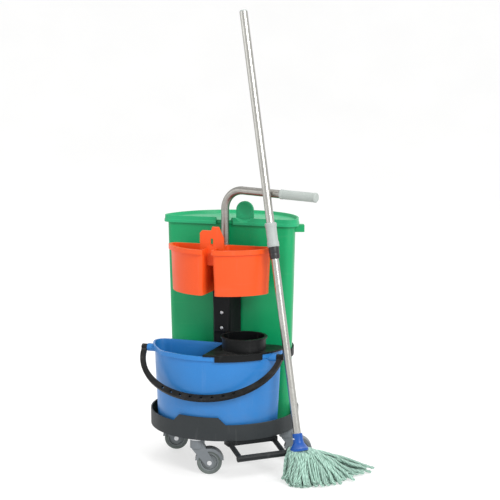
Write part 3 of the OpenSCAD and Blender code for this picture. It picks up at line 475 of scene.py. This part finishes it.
@dataclass
class Dresser:
    """Turns CAD nodes into merged, softly edged pieces with their finish."""

    paints: Paintbox
    slots: dict = field(default_factory=lambda: {
        s["node"]: s["material_slot"] for s in frame["record"]["subparts"]
    })

    def finish_off(self, piece: bpy.types.Object, body: str, nodes: list[str], slot: str) -> bpy.types.Object:
        """Gives a piece the material of its slot, puts it on its body and hides the CAD nodes that it stands
        for.

        Args:
            piece: The new piece.
            body: CAD body that it rides on.
            nodes: CAD nodes that it stands for.
            slot: Material slot of the record.

        Returns:
            The same piece.
        """
        piece.data.materials.clear()
        piece.data.materials.append(self.paints.material(slot))
        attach(piece, body)
        if nodes:
            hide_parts(*nodes)
        log.info("%s: %d points on %s", piece.name, len(piece.data.vertices), body)
        return piece

    def dress(self, node: str, edge: Edge = Edge.MOULDED, smooth_angle: float = 30.0) -> bpy.types.Object:
        """A merged copy of a CAD node with smooth faces and rounded edges.

        Args:
            node: Name of the CAD node.
            edge: How far its sharp edges are rounded.
            smooth_angle: Edges sharper than this many degrees stay edges.

        Returns:
            The new piece, which stands for the node.
        """
        source = frame["nodes"][node]
        mesh = source.data.copy()
        mesh.name = node + "_looks"
        work = bmesh.new()
        work.from_mesh(mesh)
        bmesh.ops.remove_doubles(work, verts=work.verts, dist=2e-5)
        bmesh.ops.dissolve_limit(work, angle_limit=math.radians(0.4), verts=work.verts, edges=work.edges)
        bmesh.ops.triangulate(work, faces=work.faces)
        work.to_mesh(mesh)
        work.free()
        if "custom_normal" in mesh.attributes:
            mesh.attributes.remove(mesh.attributes["custom_normal"])
        mesh.polygons.foreach_set("use_smooth", [True] * len(mesh.polygons))
        mesh.set_sharp_from_angle(angle=math.radians(smooth_angle))
        piece = bpy.data.objects.new(node + "_looks", mesh)
        bpy.context.scene.collection.objects.link(piece)
        bevel = piece.modifiers.new("rounded edges", "BEVEL")
        bevel.width, bevel.segments = edge.value, 2
        bevel.limit_method, bevel.angle_limit = "ANGLE", math.radians(smooth_angle + 4)
        bevel.harden_normals = True
        return self.finish_off(piece, source["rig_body"], [node], self.slots[node])


# ---------------------------------------------------------------- sub-assemblies


@dataclass
class Screws:
    """Screw heads with a driver's cross, in place of plain CAD heads.

    A head is a low dome over a disc, sunk where the cross runs.
    """

    dresser: Dresser
    rings: int = 14
    spokes: int = 64

    def head(
        self, centre: np.ndarray, axis: np.ndarray, radius: float, height: float, turn: float
    ) -> np.ndarray:
        """Points of one head. Height over the disc is h (1 - (r/R)^2.4), less the cross.

        Args:
            centre: Middle of the head's seat.
            axis: Unit direction that the head faces.
            radius: Radius of the head.
            height: Height of the dome.
            turn: Turn of the cross in radians.

        Returns:
            Points ring by ring, outermost last and down to the seat.
        """
        r = np.concatenate([np.linspace(0.02, 1, self.rings) ** 0.8, [1.0]])[:, None] * radius
        a = np.linspace(0, 2 * math.pi, self.spokes, endpoint=False)[None, :]
        x, y = r * np.cos(a), r * np.sin(a)
        rise = height * (1 - (r / radius) ** 2.4) * 0.6 + height * 0.4
        slot_half, slot_long = radius * 0.13, radius * 0.62
        along = np.abs(x * math.cos(turn) + y * math.sin(turn))
        near = np.minimum(along, np.abs(-x * math.sin(turn) + y * math.cos(turn)))
        cut = 1 / (1 + np.exp((near - slot_half) / (radius * 0.02)))
        cut = cut / (1 + np.exp((r - slot_long) / (radius * 0.03)))
        rise = rise - cut * height * 0.7
        rise[-1] = 0.0
        side = unit(np.cross(axis, [0.31, 0.17, 0.93]))
        other = np.cross(axis, side)
        return centre + x[..., None] * side + y[..., None] * other + rise[..., None] * axis

    def build(self, node: str, name: str) -> None:
        """Puts a head on each screw of a CAD node, found as clusters of its points.

        Args:
            node: CAD node of the screws; every screw is a solid of its own.
            name: Name of the new piece.
        """
        source = frame["nodes"][node]
        work = bmesh.new()
        work.from_mesh(source.data)
        bmesh.ops.remove_doubles(work, verts=work.verts, dist=2e-5)
        left, islands = set(work.verts), []
        while left:
            todo, island = [left.pop()], []
            while todo:
                v = todo.pop()
                island.append(v)
                near = [e.other_vert(v) for e in v.link_edges if e.other_vert(v) in left]
                left.difference_update(near)
                todo.extend(near)
            islands.append(np.array([v.co for v in island], float))
        work.free()
        points, faces, start = [], [], 0
        per = (self.rings + 1) * self.spokes
        quads = grid_quads(self.rings + 1, self.spokes, False, True)
        for k, island in enumerate(islands):
            middle = island.mean(0)
            axis = unit(np.linalg.svd(island - middle)[2][0])
            along = (island - middle) @ axis
            radial = np.linalg.norm(island - middle - along[:, None] * axis, axis=1)
            wide = radial > radial.max() * 0.9
            if along[wide].mean() < 0:
                axis, along = -axis, -along
            shank = middle + axis * along[~wide].min() if (~wide).any() else middle
            seat = middle + axis * along[wide].min() - (shank - middle) * 0
            height = float(np.ptp(along[wide]))
            head = self.head(seat, axis, float(radial.max()), max(height, 0.001), 0.5 + k * 1.1)
            points.append(head.reshape(-1, 3))
            faces += (quads + start).tolist()
            faces.append(list(range(start + self.spokes - 1, start - 1, -1)))
            faces.append(list(range(start + per - self.spokes, start + per)))
            start += per
        piece = mesh_piece(name, np.concatenate(points), faces)
        work = bmesh.new()
        work.from_mesh(piece.data)
        bmesh.ops.recalc_face_normals(work, faces=work.faces)
        work.to_mesh(piece.data)
        work.free()
        self.dresser.finish_off(piece, source["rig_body"], [node], "bright_steel")


@dataclass
class Base:
    """Round tray with its ring wall, raised tab and foot loop."""

    dresser: Dresser

    def build(self) -> None:
        """Dresses the tray and the foot loop."""
        self.dresser.dress("deck", Edge.SOFT)
        self.dresser.dress("foot_loop", Edge.SOFT)
        Screws(self.dresser).build("foot_loop_screws", "foot_loop_screw_heads")


@dataclass
class Castors:
    """Four swivel castors."""

    dresser: Dresser
    count: int = 4

    def build(self) -> None:
        """Dresses plates, forks, axles, hubs and tyres."""
        for i in range(1, self.count + 1):
            self.dresser.dress(f"castor_plate_{i}", Edge.CRISP)
            self.dresser.dress(f"castor_fork_{i}", Edge.SOFT)
            self.dresser.dress(f"castor_axle_{i}", Edge.CRISP)
            self.dresser.dress(f"castor_hub_{i}", Edge.CRISP)
            self.dresser.dress(f"castor_tyre_{i}", Edge.CRISP)


@dataclass
class Post:
    """Post with its cover, the hoop round the bin and the push tube."""

    dresser: Dresser

    def build(self) -> None:
        """Dresses the post's pieces and puts heads on its screws."""
        for node, edge in (
            ("post_column", Edge.SOFT), ("post_cover", Edge.MOULDED), ("bin_hoop", Edge.CRISP),
            ("push_tube", Edge.CRISP), ("push_grip", Edge.SOFT),
        ):
            self.dresser.dress(node, edge)
        for node in ("post_screws", "hoop_screws", "tube_screws"):
            Screws(self.dresser).build(node, node.replace("screws", "screw_heads"))


@dataclass
class Containers:
    """Bin, lid, bucket, bail, wringer and caddy."""

    dresser: Dresser

    def build(self) -> None:
        """Dresses the containers."""
        for node, edge in (
            ("bin_body", Edge.MOULDED), ("bin_lid", Edge.MOULDED), ("bucket_body", Edge.MOULDED),
            ("bail_pins", Edge.CRISP), ("bail", Edge.MOULDED), ("wringer_body", Edge.MOULDED),
            ("wringer_cone", Edge.CRISP), ("caddy", Edge.MOULDED),
        ):
            self.dresser.dress(node, edge)


@dataclass
class Mop:
    """Mop handle and its head of looped yarn.

    A loop leaves the socket, runs out to its reach, turns back beside itself and returns.
    Its reach in a direction is that of the CAD head's outline on the floor.
    """

    dresser: Dresser
    loops: int = 216
    steps: int = 84
    around: int = 9
    yarn_r: float = 0.0033
    plies: int = 3
    twist: float = 420.0
    seed: int = 41

    def outline_reach(self, origin: np.ndarray, angles: np.ndarray) -> np.ndarray:
        """Distance from origin to the head's outline in each direction.

        The outline's support h(b) is the farthest any point goes in direction b; the
        reach in direction a is the least h(b) / cos(a - b) over all b that face a.

        Args:
            origin: Point on the floor, inside the outline.
            angles: Directions in radians.

        Returns:
            One distance for each direction.
        """
        points = node_points("mop_head")
        flat = points[points[:, 2] < 0.035, :2] - origin[:2]
        b = np.linspace(0, 2 * math.pi, 720, endpoint=False)
        support = (flat @ np.stack([np.cos(b), np.sin(b)])).max(0)
        facing = np.cos(angles[:, None] - b[None, :])
        ratio = np.where(facing > 0.05, support[None, :] / np.maximum(facing, 0.05), 1e9)
        return ratio.min(1)

    def centrelines(self) -> tuple[np.ndarray, np.ndarray, np.ndarray]:
        """Centrelines of all loops.

        Height falls as (1 - u^q)^p along the way out: the short way down bulges, the long
        way out runs nearly straight, and lower layers drop sooner. Sideways waves grow
        with u. The turn at the tip is half a circle.

        Returns:
            Points of each loop, its sideways direction, and a number from 0 to 1 for it.
        """
        rng = np.random.default_rng(self.seed)
        socket = node_points("mop_socket")
        low = socket[socket[:, 2] < socket[:, 2].min() + 0.012]
        mouth = low.mean(0)
        floor = np.array([mouth[0] + 0.004, mouth[1] - 0.004, 0.0])
        many = np.linspace(-math.pi, math.pi, 721)[:-1]
        weight = np.cumsum(self.outline_reach(floor, many) ** 1.2)
        share = (np.arange(self.loops) + rng.uniform(0, 1, self.loops)) / self.loops
        angle = np.interp(rng.permutation(share), weight / weight[-1], many)
        layer = (np.arange(self.loops) % 4) / 3.0
        edge = self.outline_reach(floor, angle)
        reach = edge * (0.79 + 0.21 * layer) * rng.uniform(0.93, 1.0, self.loops)
        s = np.linspace(0, 2, self.steps)[None, :]
        tip = 0.05
        q = np.clip((s - 1) / tip, -1, 1)
        u = 1 - np.clip(np.abs(s - 1) - tip, 0, None) / (1 - tip)
        width = rng.uniform(0.0075, 0.0115, self.loops)[:, None]
        across = -np.sin(q * math.pi / 2) * width / 2 * np.clip(u * 6, 0.25, 1)
        beyond = np.cos(q * math.pi / 2) * width / 2
        start = 0.004 + 0.016 * layer[:, None]
        out = start + (reach[:, None] - start - width) * (0.10 * u + 0.90 * u**1.12) + beyond
        top = mouth[2] + 0.006 - 0.006 * layer[:, None]
        bulge = (1.10 + 2.0 * (1 - edge / edge.max()))[:, None] * rng.uniform(0.92, 1.12, self.loops)[:, None]
        power = 1.0 + 1.3 * (1 - layer[:, None]) * rng.uniform(0.5, 1.0, self.loops)[:, None]
        rest = self.yarn_r * (1.0 + 5.0 * rng.uniform(0, 1, self.loops)[:, None] * layer[:, None])
        z = rest + (top - rest) * (1 - u**bulge) ** power
        wave = rng.uniform(3.0, 6.5, self.loops)[:, None]
        phase = rng.uniform(0, 6.28, self.loops)[:, None]
        sway = 0.0065 * u * np.sin(wave * u * 2 + phase) + 0.012 * u**2 * np.sin(phase * 2)
        z = z + 0.0035 * u * (1 - u) * 4 * np.sin(wave * u * 1.7 + phase * 1.7) * (z > 0.012)
        z = np.maximum(z, self.yarn_r * 1.02)
        away = np.stack([np.cos(angle), np.sin(angle), np.zeros(self.loops)], -1)
        side = np.stack([-np.sin(angle), np.cos(angle), np.zeros(self.loops)], -1)
        lean = (1 - u)[..., None] ** 2 * (mouth - floor) * np.array([1.0, 1.0, 0.0])
        line = floor + lean + out[..., None] * away[:, None] + (across + sway)[..., None] * side[:, None]
        line[..., 2] = z
        return line, side, rng.uniform(0, 1, self.loops)

    def build_yarn(self) -> None:
        """Carries a lobed round section along each centreline and turns it as it goes.

        The section's radius is r (1 + 0.2 cos(3 a)), and a advances with the length run,
        so that the plies wind round each other.
        """
        line, side, number = self.centrelines()
        run = unit(np.gradient(line, axis=1))
        out = unit(np.cross(run, np.broadcast_to(side[:, None], run.shape)))
        level = np.cross(out, run)
        gone = np.cumsum(np.linalg.norm(np.diff(line, axis=1), axis=-1), 1)
        length = np.concatenate([np.zeros((self.loops, 1)), gone], 1)
        a = np.linspace(0, 2 * math.pi, self.around, endpoint=False)
        ply = 0.5 + 0.5 * np.cos(self.plies * a[None, None] + self.twist * length[..., None])
        radius = self.yarn_r * (0.84 + 0.26 * ply)
        ring = np.cos(a)[..., None] * out[:, :, None] + np.sin(a)[..., None] * level[:, :, None]
        points = line[:, :, None] + radius[..., None] * ring
        points[..., 2] = np.maximum(points[..., 2], 0.0004)
        quads = grid_quads(self.steps, self.around, False, True)
        per = self.steps * self.around
        caps = [list(range(self.around - 1, -1, -1)), list(range(per - self.around, per))]
        names = ("mop_yarn_under", "mop_yarn_middle", "mop_yarn_over", "mop_yarn_top")
        for k, name in enumerate(names):
            chosen = np.arange(k, self.loops, len(names))
            faces = []
            for n in range(len(chosen)):
                faces += (quads[:, ::-1] + n * per).tolist()
                faces += [[i + n * per for i in cap] for cap in caps]
            piece = mesh_piece(name, points[chosen], faces)
            work = bmesh.new()
            work.from_mesh(piece.data)
            bmesh.ops.recalc_face_normals(work, faces=work.faces)
            work.to_mesh(piece.data)
            work.free()
            same = np.broadcast_to(number[chosen, None, None], ply[chosen].shape)
            # the "ply" attribute also masks the painted shade between plies in the yarn material
            for title, values in (("ply", ply[chosen]), ("loop", same)):
                held = piece.data.attributes.new(title, "FLOAT", "POINT")
                held.data.foreach_set("value", np.ascontiguousarray(values, np.float32).ravel())
            self.dresser.finish_off(piece, "mop", ["mop_head"] if k == 0 else [], "yarn_mint")

    def build(self) -> None:
        """Dresses the handle and builds the yarn."""
        for node, edge in (
            ("mop_lower_tube", Edge.CRISP), ("mop_upper_tube", Edge.CRISP), ("mop_socket", Edge.MOULDED),
            ("mop_sleeve", Edge.MOULDED), ("mop_collar", Edge.MOULDED), ("mop_cap", Edge.CRISP),
        ):
            self.dresser.dress(node, edge)
        Screws(self.dresser).build("mop_screw", "mop_screw_head")
        self.build_yarn()


# ---------------------------------------------------------------- studio


@dataclass
class Studio:
    """Camera, pale floor that curves up all round, and soft lights."""

    stand: tuple[float, float, float] = (1.252, -3.5684, 1.2)
    heading: float = 19.86
    pitch: float = 6.31
    lens: float = 90.06
    rise: float = -0.08
    glow: float = 0.62

    def camera(self) -> None:
        """Makes the scene's camera."""
        data = bpy.data.cameras.new("view")
        data.lens, data.sensor_width, data.shift_y = self.lens, 36.0, self.rise
        data.clip_start, data.clip_end = 0.05, 60.0
        camera = bpy.data.objects.new("view", data)
        bpy.context.scene.collection.objects.link(camera)
        camera.location = self.stand
        camera.rotation_euler = (math.radians(90 - self.pitch), 0.0, math.radians(self.heading))
        bpy.context.scene.camera = camera

    def floor(self) -> None:
        """A round, faintly glowing floor that rises smoothly at its edge, by 7 t^2.2."""
        r = np.concatenate([np.linspace(0.0, 7.0, 24), np.linspace(7.2, 13.0, 24)])[:, None]
        a = np.linspace(0, 2 * math.pi, 96, endpoint=False)[None, :]
        t = np.clip((r - 7.0) / 6.0, 0, 1)
        z = np.broadcast_to(7.0 * t**2.2, (r.shape[0], a.shape[1]))
        points = np.stack([r * np.cos(a), r * np.sin(a), z - 0.0002], -1)
        ground = mesh_piece("studio_floor", points, grid_quads(len(r), 96, False, True).tolist())
        w = Wiring("pale_floor")
        tone = w.spread(w.noise(1.5, 4.0), 0.3, 0.7, 0.0, 1.0)
        w.join(w.blend(tone, (0.40, 0.40, 0.40, 1.0), (0.43, 0.43, 0.43, 1.0)), w.shader.inputs["Base Color"])
        w.shader.inputs["Emission Color"].default_value = (1.0, 1.0, 0.995, 1.0)
        w.shader.inputs["Emission Strength"].default_value = self.glow
        w.shader.inputs["Roughness"].default_value = 0.6
        w.shader.inputs["Specular IOR Level"].default_value = 0.3
        w.relief(w.noise(300.0, 2.0), 0.0001, 0.15)
        ground.data.materials.append(w.material)

    def lamp(self, name: str, place: tuple, aim: tuple, size: float, power: float) -> None:
        """A square soft light that looks at a point.

        Args:
            name: Name of the light.
            place: Where it stands, in metres.
            aim: Point that it looks at.
            size: Side of the light.
            power: Power in watts.
        """
        data = bpy.data.lights.new(name, "AREA")
        data.energy, data.size = power, size
        light = bpy.data.objects.new(name, data)
        bpy.context.scene.collection.objects.link(light)
        light.location = place
        light.rotation_euler = (Vector(aim) - Vector(place)).to_track_quat("-Z", "Y").to_euler()

    def lights(self) -> None:
        """World light, a key from the right front, a fill from the left and a top light."""
        world = bpy.data.worlds.new("studio")
        world.use_nodes = True
        world.node_tree.nodes["Background"].inputs[0].default_value = (1.0, 1.0, 1.0, 1.0)
        world.node_tree.nodes["Background"].inputs[1].default_value = 0.7
        bpy.context.scene.world = world
        bpy.context.scene.view_settings.view_transform = "Standard"
        self.lamp("key", (3.2, -2.6, 3.0), (0.0, 0.0, 0.5), 1.6, 150.0)
        self.lamp("fill", (-3.4, -2.2, 2.2), (0.0, 0.0, 0.5), 2.4, 22.0)
        self.lamp("top", (0.2, 0.6, 4.2), (0.0, 0.0, 0.4), 2.4, 70.0)


def main() -> None:
    """Builds the studio and every sub-assembly in order."""
    logging.basicConfig(level=logging.INFO, format="%(name)s: %(message)s")
    studio = Studio()
    studio.camera()
    dresser = Dresser(Paintbox())
    for part in (Base, Castors, Post, Containers, Mop):
        log.info("building %s", part.__name__)
        part(dresser).build()
    studio.floor()
    studio.lights()


if __name__ == "__main__":
    main()
